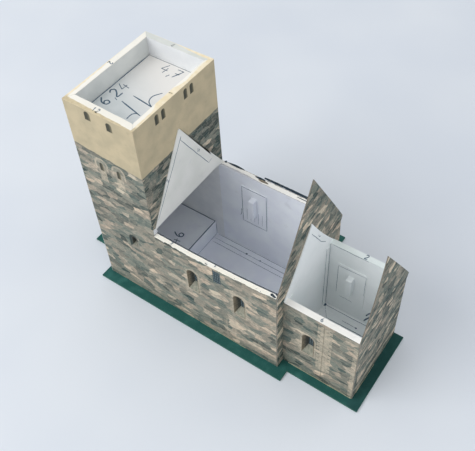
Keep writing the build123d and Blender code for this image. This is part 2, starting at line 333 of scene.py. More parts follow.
def rubble(run, up, lightness, size, contrast=1.0):
    """The colour of printed rubble, from the distance along the wall and the height."""
    run, up = run / size, up / size
    flat = joined(run, up)
    sway = noise(flat, 9, 2.0) - 0.5
    fray = noise(flat, 1.1, 4.0) - 0.5
    course = joined((run + sway * 3 + fray * 2.2) / stone_length,
                    (up + sway * 1.6 + fray * 1.1) / stone_height)
    cells = {"Vector": course, "Scale": 1.0, "Randomness": 0.95}
    stones = run.node("TexVoronoi", cells, "Color", voronoi_dimensions="2D")
    luck, kind = axes(stones)[:2]
    edge = run.node("TexVoronoi", cells, voronoi_dimensions="2D", feature="DISTANCE_TO_EDGE")
    along, high = axes(stones.other("Position"))[:2]

    def patches(length, height, seed):
        """A slow noise that is the same all over one stone."""
        place = joined(along * (stone_length / length), high * (stone_height / height), seed)
        return noise(place, 1, 2.0) - 0.5

    speck = noise(joined(run / 1.8, up / 1.1), 1, 3.0) - 0.5
    spread = patches(11, 6, 0.0) * 1.7 + (luck - 0.5) * 0.36 + speck * 0.6
    tone = spread * contrast + lightness
    warmth = patches(15, 9, 7.0) * 1.4 + (kind - 0.5) * 0.5 + 0.5
    grey = tone.ramp(tone_steps, grey_stones)
    stone = (warmth.step(0.3, 0.7) * 0.85).choose(grey, tone.ramp(tone_steps, brown_stones))
    return (edge.step(0.07, 0.015) * 0.32).choose(stone, joint_ink)


# %% [markdown]
# Windows that are only printed are masks laid over the stone, one after another, as inks are. In a round
# head only the distance sideways counts below the springing line, and above it the distance from the arch's
# centre, so one square root covers both. Each kind of opening is a function that takes a colour and gives
# one back, so a wall is a list of them.

# %% Printed openings
pane_dark = (72, 72, 60)
pane_light = (132, 124, 100)
surround_pale = (208, 194, 170)
surround_grey = (160, 153, 138)
lattice_dark = (40, 56, 62)
lattice_pale = (112, 128, 132)


def arch(run, up, middle, sill, across, height, soft=0.15):
    """1 inside a round-headed shape and 0 outside."""
    half = across / 2
    over = (up - (sill + height - half)).at_least(0.0)
    aside = run - middle
    distance = (aside * aside + over * over).maths("SQRT")
    return distance.step(half + soft, half - soft) * up.step(sill - soft, sill + soft)


def pale_stone(run, up):
    """The colour of the cut blocks."""
    return noise(joined(run, up), 1.6, 3.0).step(0.3, 0.65).choose(surround_grey, surround_pale)


def layer(lay):
    """Let a function that lays ink be called with its settings first, and with the wall later."""
    return lambda *places, **sizes: lambda colour, run, up: lay(colour, run, up, *places, **sizes)


@layer
def window(colour, run, up, middle, sill, across, height):
    """A dark round-headed opening, lighter towards its far jamb."""
    pane = (run - (middle - across / 2)).step(across * 0.45, across * 1.1).choose(pane_dark, pane_light)
    return arch(run, up, middle, sill, across, height).choose(colour, pane)


@layer
def surround(colour, run, up, middle, sill, across, height, thickness=1.0, strength=0.6):
    """Pale stones round an opening. Their outer edge is toothed, as cut blocks in rubble are."""
    def grown(aside):
        return arch(run, up, middle, sill - thickness, across + aside * thickness,
                    height + (aside / 2 + 1) * thickness)
    toothed = grown(2).at_least(grown(4) * (up.lines(3.2, 1.6) * 0.5))
    mask = toothed * (1 - arch(run, up, middle, sill, across, height)) * strength
    return mask.choose(colour, pale_stone(run, up))


@layer
def hood(colour, run, up, middle, sill, across, height, thickness, pillar):
    """An arch of pale blocks, open below, with a pillar of them down from its middle."""
    outside = arch(run, up, middle, sill, across + 2 * thickness, height + thickness, 0.3)
    band = outside * (1 - arch(run, up, middle, sill - 1, across, height + 1, 0.3)) * 0.75
    below = (abs(run - middle).step(pillar / 2 + 0.5, pillar / 2) * up.step(sill - 8, sill - 7.3)
             * up.step(sill + 0.6, sill - 0.6) * 0.7)
    inside = arch(run, up, middle, sill, across, height, 0.4) * 0.3
    return band.at_least(below).at_least(inside).choose(colour, pale_stone(run, up))


def lattice(colour, mask, run, up, pitch=1.15, bar=0.4):
    """Lay a leaded pane over a colour where the mask is 1: pale panes between dark lead."""
    leads = run.lines(pitch, bar).at_least(up.lines(pitch * 1.25, bar))
    return mask.choose(colour, leads.choose(lattice_pale, lattice_dark))


# %% [markdown]
# A printed wall is laid in the order a printer would: rubble first, then plaster over the top of the tower,
# then the openings. Last comes what happened to the paper itself. Folded corners crack and show a thin
# white line. Along a torn edge the print is gone in bites, with a dark line under them next to the tower.

# %% Printed walls
plaster_line = 103.7
plaster_warm = (204, 188, 155)
plaster_cool = (188, 175, 145)
plaster_stain = (167, 155, 129)
plaster_shadow = (100, 102, 92)
bare_paper = (226, 226, 222)
# A dark ink, also the painted shade round the tower's slit.
dark_ink_and_shade = (50, 62, 58)


@layer
def plaster(colour, run, up, climb=0.0):
    """Cream plaster on the top of the tower, whose lower edge may climb to the west."""
    flat = joined(run, up)
    cloud = noise(flat, 9, 5.0).mottle(plaster_cool, plaster_warm)
    stain = (noise(flat, 3.5, 6.0).step(0.55, 0.8) * 0.35).choose(cloud, plaster_stain)
    above_line = up - (tower_length - run) * climb + (noise(flat, 4, 3.0) - 0.5) * 1.6 - plaster_line
    shadow = above_line.step(-1.3, -0.5) * above_line.step(0.5, -0.1) * 0.5
    return above_line.step(-0.3, 0.3).choose(shadow.choose(colour, plaster_shadow), stain)


@layer
def fold(colour, run, up, place, strength=0.7):
    """A crack along an upright fold at that distance along the wall."""
    ragged = abs(run - place) + (noise(joined(run, up), 1.2, 4.0) - 0.5) * 0.9
    return (ragged.step(0.30, 0.05) * strength).choose(colour, bare_paper)


@layer
def torn_top(colour, run, up, height, drop, sag, depth):
    """Bites below a top edge that drops westwards and sags, with a dark line under them near the tower."""
    share = (nave_end - run) / (nave_end - tower_length)
    edge = height - share * drop - share * (1 - share) * (4 * sag)
    past_bite = up - edge + noise(joined(run, up), 3.0, 5.0).step(0.48, 0.72) * depth
    bitten = past_bite.step(-0.1, 0.1) * run.step(tower_length, tower_length + 0.1)
    dark_line = past_bite.step(-1.9, -1.1) * run.step(tower_length, tower_length + 1) * run.step(64, 56)
    return bitten.choose((dark_line * 0.85).choose(colour, dark_ink_and_shade), bare_paper)


def printed(name, axis, layers, light=lambda run, up: 0.45, size=1.0, contrast=1.0):
    """A printed wall whose run is the plan's X or Y. The light function gives its print's lightness."""
    material, plan = new_finish(name)
    places = dict(zip("XYZ", axes(plan)))
    run, up = places[axis], places["Z"]
    colour = rubble(run, up, light(run, up), size, contrast)
    for lay in layers:
        colour = lay(colour, run, up)
    return felted(material, plan, colour, 0.62, 0.45, 0.12)


# %% [markdown]
# The tower has two round-headed windows high on its long sides and two pairs on its short ones, all
# printed, so each is a layer and not a piece. Lower down, two slits have pale stone round them. The sides
# that the camera doesn't see repeat the others.

# %% The tower's prints
tower_window = {"across": 3.5, "height": 5.2}
pair_window = {"sill": 126.2, "across": 2.7, "height": 5.7}
slit = {"sill": 95.2, "across": 2.4, "height": 5.2}
slit_hood = {"sill": 95.2, "across": 6.2, "height": 7.2, "thickness": 1.3, "pillar": 4.2}
tower_middle = tower_length / 2

tower_side_layers = [plaster(0.085), window(tower_middle - 6.5, 127.5, **tower_window),
                     window(tower_middle + 6.5, 126.6, **tower_window)]
for slit_place in (tower_middle - 5.6, tower_middle + 5.5):
    tower_side_layers += [hood(slit_place, **slit_hood), window(slit_place, **slit)]
pair_layers = [plaster()]
for pair_place in (18.4, 39.7):
    pair_layers += [window(pair_place + side * 2.35, **pair_window) for side in (-1, 1)]
pair_layers += [fold(0.0), fold(width)]
print(len(tower_side_layers), "layers on the tower's long side")

# %% [markdown]
# On the nave, pale blocks frame the two niches, with a leaded window between them and a faint walled-up
# arch below it. Painted shade round the tower's slit makes it look larger than it is cut. On the chancel a
# strip of pale blocks stands beside the niche, with a seam down it. The niches' places are read from their
# linings, so the print meets the openings.

# %% The nave's and chancel's prints
niche_width = 7.2


def niche_size(node, middle=None):
    """A niche's middle, sill, width and height, from its paper lining."""
    low, high = span(node)
    middle = (low.x + high.x) / 2 if middle is None else middle
    return {"middle": middle, "sill": low.z, "across": min(high.x - low.x, niche_width),
            "height": high.z - low.z}


both_low, both_high = span("nave_south_window_linings")
nave_niches = [niche_size("nave_south_window_linings", both_low.x + niche_width / 2),
               niche_size("nave_south_window_linings", both_high.x - niche_width / 2)]
north_niche = niche_size("nave_north_window_lining")
chancel_niche = niche_size("chancel_south_window_lining")
slit_size = niche_size("tower_slit_lining")


@layer
def leaded(colour, run, up, west, east, sill, top):
    """A square-headed leaded window."""
    return lattice(colour, run.within(west, east) * up.within(sill, top), run, up)


@layer
def quoins(colour, run, up, place, reach, low, high, strength=0.55):
    """A toothed upright strip of pale blocks."""
    side = abs(run - place)
    tooth = side.step(reach, reach * 0.93) * up.lines(3.6, 1.8)
    block = side.step(reach * 0.62, reach * 0.55).at_least(tooth)
    return (block * up.within(low, high, 0.3) * strength).choose(colour, pale_stone(run, up))


@layer
def seam(colour, run, up, place, low, high):
    """A thin dark upright line."""
    mask = abs(run - place).step(0.3, 0.12) * up.step(low, low + 1) * up.step(high + 1, high)
    return (mask * 0.45).choose(colour, pane_dark)


def slit_shadow(colour, run, up):
    """Painted shade round the tower's slit, with a pale sill across its lower corner."""
    west, foot = slit_size["middle"] - 3.6, slit_size["sill"] - 2.6
    opening = arch(run, up, west + 3.1, foot, 6.2, slit_size["height"] + 3.6, 0.35)
    sill = (up - foot - (run - west) * 1.2).step(0.6, -0.6)
    return (opening * sill * 0.8).choose(opening.choose(colour, dark_ink_and_shade), surround_grey)


def south_light(run, up):
    """The long print is paler east, but for painted shade at its foot, and darker up the tower's west
    corner.
    """
    east = run.step(60, 105) * (up.step(1, 15) * 0.1 - 0.02)
    return east - run.step(12, 0) * up.step(28, 45) * 0.12 + 0.465


def chancel_light(run, up):
    """The chancel's print has painted shade: darker at its foot, and where the nave shades it."""
    return up.step(2, 18) * 0.09 + run.step(119, 129) * 0.07 + 0.285


nave_layers = [surround(**size) for size in nave_niches] + [
    leaded(79.2, 83.9, 50.7, 60.2),
    surround(88.2, 5.0, 4.4, 17.0, 1.2, 0.35),
    slit_shadow,
    torn_top(eave, south_drop, south_sag, 1.0),
    fold(0.0),
]
north_layers = [surround(**north_niche), torn_top(north_eave, 0.0, 0.0, 1.2), fold(0.0)]
corner_blocks = quoins(chancel_end, 3.0, ground, low_eave - 6)
chancel_layers = [
    surround(**chancel_niche),
    quoins(141.2, 4.2, 12, low_eave - 3, 0.7),
    seam(140.6, ground, low_eave),
    corner_blocks,
]
prints = {
    "south_printed_sheet": printed("south_print", "X", tower_side_layers + nave_layers, south_light),
    "north_printed_sheet": printed("north_print", "X", tower_side_layers + north_layers),
    "tower_west_sheet": printed("tower_west_print", "Y", pair_layers),
    # The tower's east print is darker than its west one: painted shade on the side turned from the lamp.
    "tower_east_sheet": printed("tower_east_print", "Y", pair_layers, lambda run, up: 0.27, 0.8, 1.5),
    "chancel_south_sheet": printed("chancel_south_print", "X", chancel_layers, chancel_light),
    "chancel_north_sheet": printed("chancel_north_print", "X", [surround(**chancel_niche), corner_blocks]),
}
print(len(prints["south_printed_sheet"].node_tree.nodes), "nodes in the south print")

# %% [markdown]
# The gables are single cards, printed outside and white inside. Each face could have a material of its own.
# Here one finish looks at which way the surface faces instead, so that a bent card can wear it too. The cut
# edges are a dull grey brown.

# %% The gable cards
cut_edge = (122, 116, 104)
east_slit = {"middle": 29.0, "sill": 23.9, "across": 3.2, "height": 3.9}


def gable_print(name, layers, light):
    """Print on the east face, white card on the west face and grey brown on the cut edges."""
    material, plan = new_finish(name)
    run, up = axes(plan)[1:]
    colour = rubble(run + 61.0, up, light(run, up), 0.8, 1.4)
    for lay in layers:
        colour = lay(colour, run, up)
    turned = facing(plan)[0]
    plain = turned.step(-0.6, -0.4).choose(white_colour(plan), cut_edge)
    return felted(material, plan, turned.step(0.4, 0.6).choose(plain, colour), 0.64, 0.45, 0.12)


def east_light(run, up):
    """The chancel's east end has painted shade at its foot, and is paler towards its south corner."""
    return up.step(4, 26) * 0.09 + run.step(24, 8) * up.step(12, 40) * 0.08 + 0.28


def east_window(colour, run, up):
    """The small dark window in the chancel's east gable."""
    return arch(run, up, soft=0.3, **east_slit).choose(colour, dark_ink_and_shade)


nave_gable_finish = gable_print("nave_gable_print", [fold(0.0, 0.8)], lambda run, up: 0.46)
chancel_gable_finish = gable_print("chancel_gable_print", [
    surround(thickness=0.8, strength=0.4, **east_slit), east_window, fold(chancel_south, 0.8)], east_light)
print(len(chancel_gable_finish.node_tree.nodes), "nodes in the chancel's gable")

# %% [markdown]
# The base is dark green card, rubbed paler in places, and painted shade darkens its east end. Its cut edges
# are a little lighter than its face. One fine noise stands for its fibres: it lightens some, varies the
# gloss and raises a soft bump, so that all three agree.

# %% The green base card
def green_card():
    material, plan = new_finish("green_card")
    fibres = noise(plan, 0.35, 5.0)
    face = noise(plan, 7, 5.0).step(0.45, 0.85).choose((30, 88, 82), (56, 114, 107))
    face = (fibres.step(0.5, 0.8) * 0.45).choose(face, (92, 138, 128))
    # Painted shade: the east end of the base is darker.
    face = (axes(plan)[0].step(chancel_end - 3, chancel_end + 1) * 0.5).choose(face, (14, 50, 52))
    colour = facing(plan)[2].step(0.2, 0.6).choose((60, 104, 90), face)
    return finish(material, colour, fibres * 0.15 + 0.7, fibres, 0.05)


# %% [markdown]
# A niche is lined with printed paper: buff stone on its splays and a pale sill. At its back a leaded pane
# is printed on the card glued behind the wall, which is white on the room's side. The jambs carry painted
# shade: the deeper they lie behind the wall's face, the darker they are.

# %% Niche linings and panes
def lining_finish(name, outer_y, inward, darken=0.0):
    """Buff jambs with painted shade towards the pane, more of it with darken, and a paler sill."""
    material, plan = new_finish(name)
    depth = (axes(plan)[1] - outer_y) * inward
    spread = noise(plan, 1.3, 4.0)
    jamb = spread.mottle((104, 97, 82), (140, 129, 108))
    shade = spread.mottle((54, 58, 54), (78, 80, 74))
    sill = spread.mottle((134, 137, 123), (166, 163, 146))
    sides = (depth.step(wall * 0.15, wall * 0.75) + darken).choose(jamb, shade)
    colour = facing(plan)[2].step(0.35, 0.6).choose(sides, sill)
    return finish(material, colour, spread * 0.1 + 0.65, noise(plan, 0.45, 4.0), 0.03)


def pane_finish(name, outward, panes, tones=card_tones):
    """Leaded panes on the face that looks outward, +1 for north and -1 for south. White elsewhere."""
    material, plan = new_finish(name)
    x, y, z = axes(plan)
    colour = white_colour(plan, tones)
    outside = (facing(plan)[1] * outward).step(0.4, 0.6)
    for pane in panes:
        half = pane["across"] / 2 + 0.05
        middle, foot = pane["middle"], pane["sill"] + 0.05
        mask = x.within(middle - half, middle + half, 0.05) * z.within(foot, foot + pane["height"], 0.05)
        colour = lattice(colour, mask * outside, x, z)
    return felted(material, plan, colour, 0.6, relief=0.02)


def dark_pane():
    """The black paper behind the tower's slit, white on the room's side."""
    material, plan = new_finish("slit_pane")
    outside = (facing(plan)[1] * -1.0).step(0.4, 0.6)
    grain = noise(plan, 1.1, 3.0)
    dark = grain.choose((34, 38, 42), (58, 64, 66))
    return finish(material, outside.choose(white_colour(plan), dark), grain * 0.15 + 0.6)


def board_finish(name, cut_edge_tones, tones=card_tones):
    """Board lined with white paper: only its cut top edge shows the board's own grey."""
    material, plan = new_finish(name)
    layers = noise(plan, 0.8, 4.0).mottle(*cut_edge_tones)
    return felted(material, plan, facing(plan)[2].step(0.6, 0.8).choose(white_colour(plan, tones), layers))


# %% [markdown]
# Each ready-made part now gets its finish. The material goes into the part's own slot, and the part itself
# is left exactly where it is.

# %% Dressing the ready-made parts
dark_edge = ((50, 60, 74), (80, 88, 98))
pale_edge = ((190, 191, 196), (208, 209, 213))
dressed = {
    **prints,
    "base_plate": green_card(),
    "tower_west_wall": white_card("tower_west_card", shaded_tones),
    "tower_deck": deck_card(),
    "tower_slit_lining": lining_finish("slit_lining", 0.0, 1.0, 0.85),
    "tower_slit_backing": dark_pane(),
    "nave_south_wall": board_finish("dark_cored_board", dark_edge),
    "nave_north_wall": board_finish("pale_cored_board", pale_edge),
    "nave_east_gable": nave_gable_finish,
    "nave_south_window_linings": lining_finish("south_lining", 0.0, 1.0),
    "nave_north_window_lining": lining_finish("north_lining", width, -1.0),
    "nave_south_window_backings": pane_finish("nave_panes", -1, nave_niches),
    "nave_north_window_backing": pane_finish("north_pane", 1, [north_niche]),
    "chancel_east_gable": chancel_gable_finish,
    "chancel_south_window_lining": lining_finish("chancel_south_lining", chancel_south, 1.0),
    "chancel_north_window_lining": lining_finish("chancel_north_lining", chancel_north, -1.0),
    "chancel_south_window_backing": pane_finish("chancel_south_pane", -1, [chancel_niche], chancel_tones),
    "chancel_north_window_backing": pane_finish("chancel_north_pane", 1, [chancel_niche], chancel_tones),
    "chancel_south_top_tab": white_card("south_tab_card", tab_tones),
    "chancel_north_top_tab": white_card("north_tab_card", cool_tab_tones),
}
tower_white = white_card("tower_card", tower_tones)
dressed.update({"tower_" + side + "_wall": tower_white for side in ("south", "north", "east")})
chancel_board = board_finish("chancel_board", dark_edge, chancel_tones)
dressed.update({"chancel_" + side + "_wall": chancel_board for side in ("south", "north")})
chancel_white = white_card("chancel_card", chancel_tones)
dressed.update({"chancel_" + piece: chancel_white
                for piece in ("floor", "floor_tabs", "corner_tabs", "west_gable")})

for node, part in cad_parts.items():
    if not part.data.materials:
        part.data.materials.append(white)
    part.data.materials[0] = dressed.get(node, white)
print(len(dressed), "parts with a finish of their own, the rest white")

# %% [markdown]
# Soft daylight suits paper. One broad lamp stands high to the south-west, like a window, and an even sky
# fills the rest. Together they light a flat sheet so that its colour renders about as written. The floor is
# plain and pale.

# %% Light and floor
sky = bpy.data.worlds.new("sky")
sky.use_nodes = True
sky_inputs = sky.node_tree.nodes["Background"].inputs
sky_inputs["Color"].default_value = (0.95, 0.97, 1.0, 1.0)
sky_inputs["Strength"].default_value = 0.76
scene.world = sky

lamp_data = bpy.data.lights.new("window_light", "AREA")
lamp_data.energy = 9.2
lamp_data.size = 1.1
lamp = bpy.data.objects.new("window_light", lamp_data)
lamp.location = (-0.65, -0.95, 0.95)
lamp.rotation_euler = (-lamp.location).to_track_quat("-Z", "Y").to_euler()
scene.collection.objects.link(lamp)

floor_mesh = bpy.data.meshes.new("floor")
floor_corners = [(-3, -3, 0), (3, -3, 0), (3, 3, 0), (-3, 3, 0)]
floor_mesh.from_pydata(floor_corners, [], [(0, 1, 2, 3)])
floor = bpy.data.objects.new("floor", floor_mesh)
scene.collection.objects.link(floor)
floor_finish, floor_plan = new_finish("floor")
floor_colour = noise(floor_plan, 120, 2.0).mottle((222, 228, 236), (229, 234, 240))
floor_mesh.materials.append(finish(floor_finish, floor_colour, 0.8))
print("lamp", round(lamp.location.length, 2), "m from the model")

# %% [markdown]
# Paper that has been torn, folded or bent can't stay a plain solid. Modifiers could thicken and bend a
# plane, but these helpers build such pieces straight from their points, which keeps every edge in hand. A
# strip is a grid between two edges, which may wander as torn paper does. Every piece is closed, with a
# front, a back and a rim, so that it is a real sheet from any side.

# %% Building thin pieces
def wander(place, size, seed):
    """A smooth wandering number between about -1 and 1."""
    return mathutils.noise.noise(Vector((place / size, seed * 7.3, 0.5)))


class Sheaf:
    """Collects thin sheets into one mesh."""

    def __init__(self):
        self.points = []
        self.faces = []

    def add(self, points, faces):
        start = len(self.points)
        self.points += points
        self.faces += [tuple(start + corner for corner in face) for face in faces]

    def sheet(self, front, back, side):
        """A closed grid from its front and back points, which come in rows of the side's length."""
        turn = len(front)
        last = turn - side
        faces = []
        for a in range(0, last, side):
            b = a + side
            for c, d in zip(range(a, b - 1), range(b, b + side - 1)):
                faces.append((c, d, d + 1, c + 1))
                faces.append((turn + c, turn + c + 1, turn + d + 1, turn + d))
            faces.append((b, a, turn + a, turn + b))
            faces.append((b - 1, b + side - 1, turn + b + side - 1, turn + b - 1))
        for row in range(side - 1):
            faces.append((row, row + 1, turn + row + 1, turn + row))
            faces.append((last + row + 1, last + row, turn + last + row, turn + last + row + 1))
        self.add(front + back, faces)

    def strip(self, low, high, place, edges, thickness, step=0.6, rows=4):
        """A strip from low to high. The edges function gives its two sides at each distance along."""
        columns = max(2, round((high - low) / step))
        grid = []
        for column in range(columns + 1):
            u = low + (high - low) * column / columns
            near, far = edges(u)
            grid += [(u, near + (far - near) * row / rows) for row in range(rows + 1)]
        self.sheet([place(u, v, 0.0) for u, v in grid], [place(u, v, -thickness) for u, v in grid], rows + 1)

    def card(self, outline, place, thickness, step):
        """A flat outline cut into small cells, so that the place function can bend it."""
        flat = bmesh.new()
        flat.faces.new([flat.verts.new((u, v, 0)) for u, v in outline])
        bmesh.ops.triangulate(flat, faces=flat.faces[:])
        for axis, normal in enumerate(((1, 0, 0), (0, 1, 0))):
            first = min(point[axis] for point in outline)
            last = max(point[axis] for point in outline)
            for cut in range(1, math.ceil((last - first) / step)):
                middle = [component * (first + cut * step) for component in normal]
                geometry = flat.verts[:] + flat.edges[:] + flat.faces[:]
                bmesh.ops.bisect_plane(flat, geom=geometry, plane_co=middle, plane_no=normal)
        flat.verts.index_update()
        turn = len(flat.verts)
        points = [place(vert.co.x, vert.co.y, lift) for lift in (0.0, -thickness) for vert in flat.verts]
        faces = []
        for face in flat.faces:
            corners = [vert.index for vert in face.verts]
            faces.append(corners)
            faces.append([turn + corner for corner in reversed(corners)])
        for edge in flat.edges:
            if edge.is_boundary:
                loop = edge.link_loops[0]
                a, b = loop.vert.index, loop.link_loop_next.vert.index
                faces.append((b, a, turn + a, turn + b))
        flat.free()
        self.add(points, faces)

    def piece(self, name, material, slot, *replaced, smooth=True):
        """Make the mesh, give it its finish and fasten it to the model."""
        mesh = bpy.data.meshes.new(name)
        mesh.from_pydata(self.points, [], self.faces)
        mesh.materials.append(material)
        if smooth:
            mesh.shade_smooth()
            mesh.set_sharp_from_angle(angle=math.radians(40))
        made = bpy.data.objects.new(name, mesh)
        scene.collection.objects.link(made)
        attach(made, "root")
        if replaced:
            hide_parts(*replaced)
        print(name, len(mesh.polygons), "faces")
        return made


# %% [markdown]
# The tower's rim is four paper tabs folded in over the walls. The plaster print runs over the folds, so the
# south and east tabs have a cream edge, and the east one a cream blot halfway. The tabs are cut by hand:
# their inner edges waver and the mitres don't quite close. One function makes all four, each turned into
# its own place.

# %% The tower's rim
def over_the_fold(name, bare_by, colour_of_print, soft=0.2, tones=tab_tones):
    """White paper that keeps its print where bare_by, in millimetres, is below 0."""
    material, plan = new_finish(name)
    ragged = bare_by(*axes(plan)[:2]) + noise(plan, 2.2, 4.0) - 0.5
    colour = ragged.step(soft, -soft).choose(white_colour(plan, tones), colour_of_print(plan))
    return felted(material, plan, colour, 0.7, 0.4, relief=0.04)


def cream(plan):
    """The plaster's colour on the south tab, and a paler cream on the others."""
    grain = noise(plan, 3.0, 4.0)
    dark = grain.mottle((206, 190, 155), (223, 208, 174))
    pale = grain.mottle((244, 228, 192), (253, 241, 214))
    return axes(plan)[1].step(2.0, 4.5).choose(dark, pale)


def rim_bare_by(x, y):
    """How far a place on the rim lies inside its cream edge."""
    south = y + x * 0.05 - 2.6
    blot = (1.0 - abs(y - 27.0) / 13.0).step(0.0, 0.8)
    east = (tower_length - x) - 1.2 - blot * 3.0 - y.step(34.0, 54.0) * 1.1
    north = (width - y) - x.step(14.0, 38.0) * 1.7
    west = x - y.step(48.0, 4.0) * 1.3
    return south.at_most(east).at_most(north).at_most(west)


rim_drop = 0.06
rim_card = 0.24
rim_gap = 0.07
south_reach = (span("tower_rim_tab_south")[1].y, 4.3)
# Each side: its length, how its own (along, in) becomes the plan's (x, y), and its reach at both ends
rim_turns = {
    "south": (tower_length, lambda u, v: (u, v), south_reach),
    "east": (width, lambda u, v: (tower_length - v, u), (wall, wall)),
    "north": (tower_length, lambda u, v: (tower_length - u, width - v), (wall, wall)),
    "west": (width, lambda u, v: (v, width - u), (wall, wall)),
}
rim_paper = over_the_fold("rim_paper", rim_bare_by, cream, 0.3, rim_tones)
rim_papers = {"north": over_the_fold("north_rim_paper", rim_bare_by, cream, 0.3, rim_shade_tones)}


def rim_tab(index, side):
    length, turned, reach = rim_turns[side]
    sides = list(rim_turns.values())
    before = sides[index - 1][2][1]
    after = sides[(index + 1) % len(sides)][2][0]

    def edges(u):
        cut = reach[0] + (reach[1] - reach[0]) * u / length + 0.16 * wander(u, 6, index)
        mitre = min(u * reach[0] / before, (length - u) * reach[1] / after) - rim_gap
        return 0.0, max(0.05, min(cut, mitre))

    def place(u, v, lift):
        wave = 0.05 * wander(u, 9, index + 5) - 0.04 * max(0.0, v - wall + 1)
        return spot(*turned(u, v), tower_top - rim_drop + min(0.0, wave) + lift)

    tab = Sheaf()
    tab.strip(0.12, length - 0.12, place, edges, rim_card, step=1.0)
    tab.piece("rim_tab_" + side, rim_papers.get(side, rim_paper), "white_tab", "tower_rim_tab_" + side)


for index, side in enumerate(rim_turns):
    rim_tab(index, side)

# %% [markdown]
# Paper has been torn off the tops of the nave's walls. Along the south wall the tab's edge is gone in
# bites, and crumbs of dark paper hang on. Two noises shape the edge, a slow one for the bites and a fast
# one for the fraying between them.

# %% The torn tab on the nave's south wall
tab_low, tab_high = span("nave_south_top_tab")
tab_card = 0.3


def brown_print(plan):
    return noise(plan, 1.5, 4.0).mottle((96, 90, 80), (158, 146, 124))


torn_paper = over_the_fold("torn_tab_paper", lambda x, y: y + 0.1, brown_print, 0.2, torn_tones)


def torn_edges(u):
    outer = 0.02 + 0.6 * max(0.0, wander(u, 6.0, 1) - 0.1) + 0.35 * max(0.0, wander(u, 1.3, 2) - 0.1)
    corner = max(0.0, u - (tab_high.x - 2.0))
    inner = tab_high.y - 0.15 * abs(wander(u, 9.0, 3)) - 0.05 * abs(wander(u, 0.8, 4)) - 0.6 * corner
    return outer, max(outer + 0.3, inner)


def torn_place(u, v, lift):
    fuzz = 0.16 * wander(u * 1.9, 1.0, v * 1.7) + 0.10 * wander(u, 6.0, 6)
    return spot(u, v, south_eave(u) + fuzz + lift)


torn_tab = Sheaf()
torn_tab.strip(tab_low.x, tab_high.x, torn_place, torn_edges, tab_card, step=0.3, rows=8)
torn_tab.piece("nave_torn_south_tab", torn_paper, "white_tab", "nave_south_top_tab")

# %% [markdown]
# Along the north wall longer scraps are left, most of them of dark roof paper. A scrap runs to a point at
# both ends and curls up towards its outer edge. A power of a sine gives its outline: the smaller the power,
# the blunter the ends, so one function makes short flakes and long strips.

# %% The torn tab and roof scraps on the nave's north wall
north_low, north_high = span("nave_north_top_tab")
scrap_high = span("nave_north_roof_scraps")[1]
north_paper = over_the_fold("north_tab_paper", lambda x, y: width - y - 0.3, brown_print)


def north_edges(u):
    bare = 0.95 - 0.6 * min(1.0, max(0.0, (u - 60) / 10))
    inner = north_low.y + bare + 0.3 * abs(wander(u, 3.0, 8)) + 0.15 * wander(u, 1.1, 9)
    return inner, width - 0.02 - 0.35 * max(0.0, wander(u, 2.3, 10))


def north_place(u, v, lift):
    return spot(u, v, north_eave + 0.08 * wander(u * 1.5, 1.0, v) + lift)


north_tab = Sheaf()
north_tab.strip(north_low.x, north_high.x, north_place, north_edges, tab_card, step=0.4, rows=6)
north_tab.piece("nave_torn_north_tab", north_paper, "white_tab", "nave_north_top_tab")


def roof_paper(name, palest):
    """Torn dark roof print: charcoal on top, paler where the paper's back shows."""
    material, plan = new_finish(name)
    grain = noise(plan, 1.2, 5.0)
    inks = [(22, 36, 48), (40, 60, 74), (78, 84, 84), palest]
    colour = grain.step(0.30, 0.85).ramp((0.0, 0.5, 0.75, 1.0), inks)
    return finish(material, colour, grain * 0.2 + 0.6, noise(plan, 0.35, 5.0), 0.06)


def scrap(name, material, seed, west, east, near, far, blunt, curl):
    """A torn scrap between two edges that meet at its ends, curling up towards the far one."""
    def edges(u):
        share = min(1.0, max(0.0, (u - west) / (east - west)))
        swell = math.sin(math.pi * share) ** blunt
        middle = (near + far) / 2
        low = middle + (near - middle) * swell * (0.9 + 0.3 * wander(u, 2.2, seed))
        high = middle + (far - middle) * swell
        return min(low, high - 0.12), high

    def place(u, v, lift):
        raised = curl * max(0.0, v - near) * (0.7 + 0.6 * abs(wander(u, 4.0, seed + 1)))
        return spot(u, v, north_eave + 0.12 + raised + 0.05 * wander(u * 2, 1.0, v) + lift)

    sheaf = Sheaf()
    sheaf.strip(west, east, place, edges, 0.2, step=0.35, rows=5)
    return sheaf.piece("roof_scrap_" + name, material, "roof_paper")


dark_scrap = roof_paper("torn_roof_paper", (136, 130, 114))
brown_scrap, brown_plan = new_finish("brown_scrap")
felted(brown_scrap, brown_plan, brown_print(brown_plan), 0.7, 0.4, relief=0.04)
scrap("corner", dark_scrap, 20, 44.4, 45.9, width - 1.1, width + 0.45, 0.4, 0.1)
scrap("west", dark_scrap, 23, 46.5, 57.8, width - 0.8, width + 0.6, 0.9, 0.1)
scrap("flap", dark_scrap, 26, 65.0, 71.6, width - 1.5, width - 0.1, 0.7, 0.1)
longest = scrap("strip", dark_scrap, 29, 69.9, scrap_high.x, width + 0.05, scrap_high.y, 0.14, 0.5)
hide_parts("nave_north_roof_scraps")
scrap("line", dark_scrap, 32, 91.6, scrap_high.x, width - 1.6, width - 1.1, 0.3, 0.1)
scrap("back", brown_scrap, 35, 67.6, 74.0, width - 2.4, width - 1.2, 0.6, 0.1)

# %% [markdown]
# Crumbs of the dark paper, and white ones of torn fibre, lie along the south tab's outer edge. Each is a
# small uneven polygon with its ends bent up a little. All of one colour are joined into one piece, because
# nobody would pick up a crumb by itself. The largest lies near the east corner and has a shape of its own.

# %% Crumbs along the torn edge
chance = random.Random(11)


